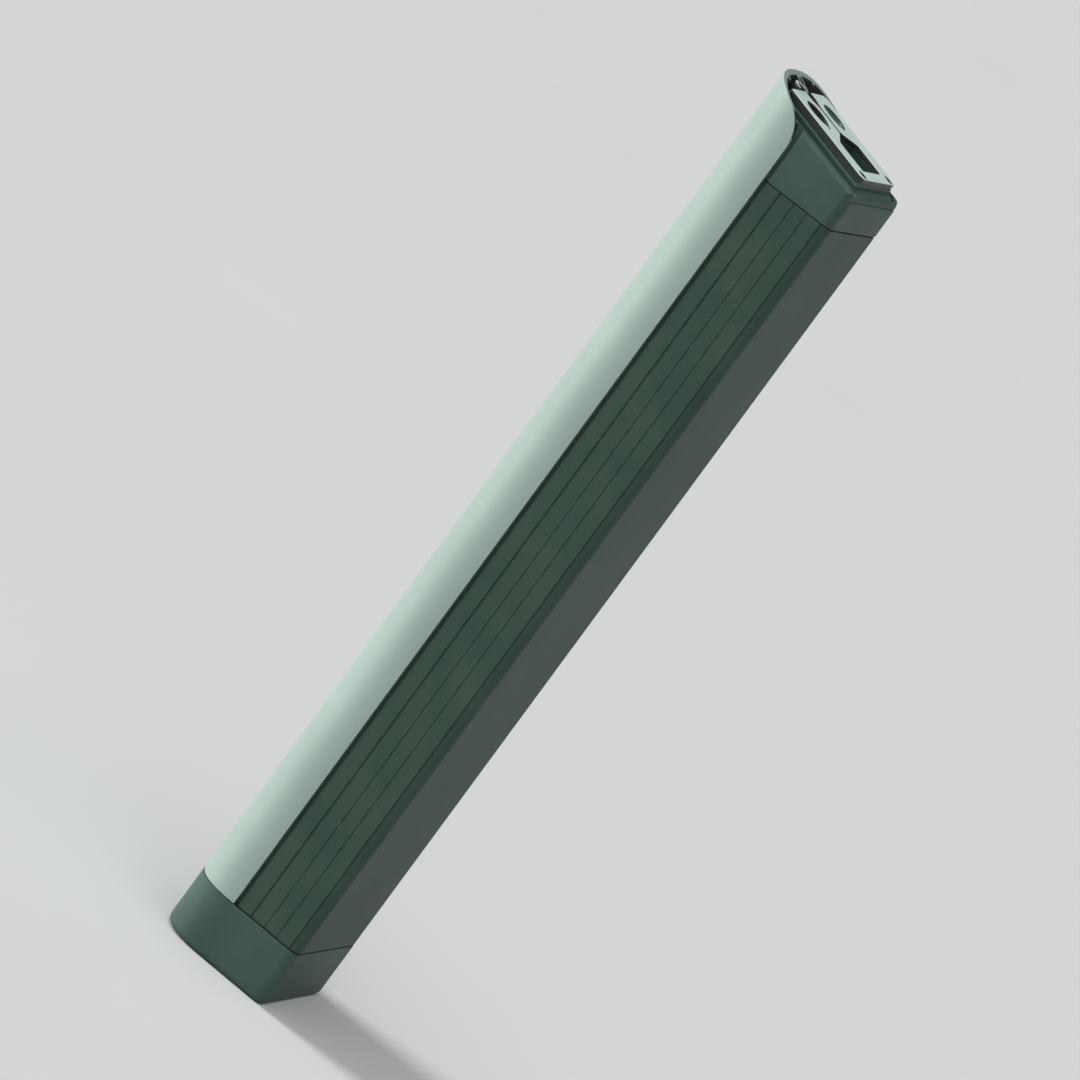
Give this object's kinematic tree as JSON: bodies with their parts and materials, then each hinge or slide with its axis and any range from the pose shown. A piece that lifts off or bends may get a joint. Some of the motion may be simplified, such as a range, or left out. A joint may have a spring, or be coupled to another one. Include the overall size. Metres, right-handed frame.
{
  "type": "battery pack",
  "caption": "In-tube electric bicycle battery pack: arched painted cover over a grooved extruded casing, slanted end plate with charging socket, button and latch pocket.",
  "frame": {"origin": "centre of the pack's bounding box on the flat bottom face of the connector end", "axes": "+Z along the pack from the connector end to the end plate; -X towards the arched cover, +X towards the belly, Y across the pack"},
  "size_m": [0.0552, 0.07, 0.4],
  "materials": {
    "cover_paint": "satin",
    "casing_anodised": "satin",
    "cap_plastic": "matte",
    "gasket_rubber": "matte",
    "black_steel": "satin",
    "plate_metal": "satin",
    "pin_steel": "brushed",
    "socket_plastic": "matte",
    "contact_metal": "polished",
    "contact_gold": "polished",
    "bezel_plastic": "satin",
    "light_ring": "frosted",
    "button_rubber": "matte",
    "spring_steel": "drawn",
    "plunger_plastic": "matte",
    "circuit_board": "satin",
    "vent_plastic": "matte",
    "holder_plastic": "matte",
    "nickel": "satin",
    "fish_paper": "matte",
    "foam": "foam",
    "chip_plastic": "matte",
    "bare_aluminium": "extruded",
    "fuse_plastic": "gloss",
    "connector_white": "matte",
    "red_wire": "satin",
    "black_wire": "satin",
    "ribbon": "satin",
    "cell_wrap": "gloss"
  },
  "bodies": {
    "pack": {"cover": "cover_paint", "casing": "casing_anodised", "top_cap": "cap_plastic", "top_gasket": "gasket_rubber", "top_cap_screws": "black_steel", "end_plate": "plate_metal", "end_plate_screws": "black_steel", "latch_pin": "pin_steel", "charge_socket": "socket_plastic", "charge_pin": "contact_metal", "charge_contact": "contact_metal", "button_bezel": "bezel_plastic", "light_ring": "light_ring", "button_spring": "spring_steel", "switch_body": "contact_metal", "switch_board": "circuit_board", "bottom_cap": "cap_plastic", "bottom_gasket": "gasket_rubber", "bottom_cap_screws": "black_steel", "cover_screw": "black_steel", "discharge_connector": "socket_plastic", "power_contacts": "contact_gold", "signal_contacts": "contact_gold", "connector_screws": "black_steel", "pressure_vent": "vent_plastic", "cell_holders": "holder_plastic", "nickel_strips": "nickel", "row_insulators": "fish_paper", "foam_pads": "foam", "control_board": "circuit_board", "board_standoffs": "bare_aluminium", "board_screws": "black_steel", "transistors": "chip_plastic", "heat_spreader": "bare_aluminium", "fuse_holder": "chip_plastic", "fuse": "fuse_plastic", "lead_terminals": "contact_metal", "balance_socket": "connector_white", "positive_lead": "red_wire", "negative_lead": "black_wire", "charge_leads": "black_wire", "button_ribbon": "ribbon", "thermistor": "black_wire", "cell_row_1": "cell_wrap", "cell_row_2": "cell_wrap", "cell_row_3": "cell_wrap", "cell_row_4": "cell_wrap", "cell_row_5": "cell_wrap"},
    "button": {"power_button": "button_rubber", "switch_plunger": "plunger_plastic"}
  },
  "joints": [
    {"name": "button_press", "type": "slide", "parent": "pack", "child": "button", "axis": [-0.2368, 0, -0.9715], "range_m": [0, 0.001], "stiffness_N_per_m": 1200, "springref_m": -0.0008, "deforming": ["button_spring"]}
  ]
}
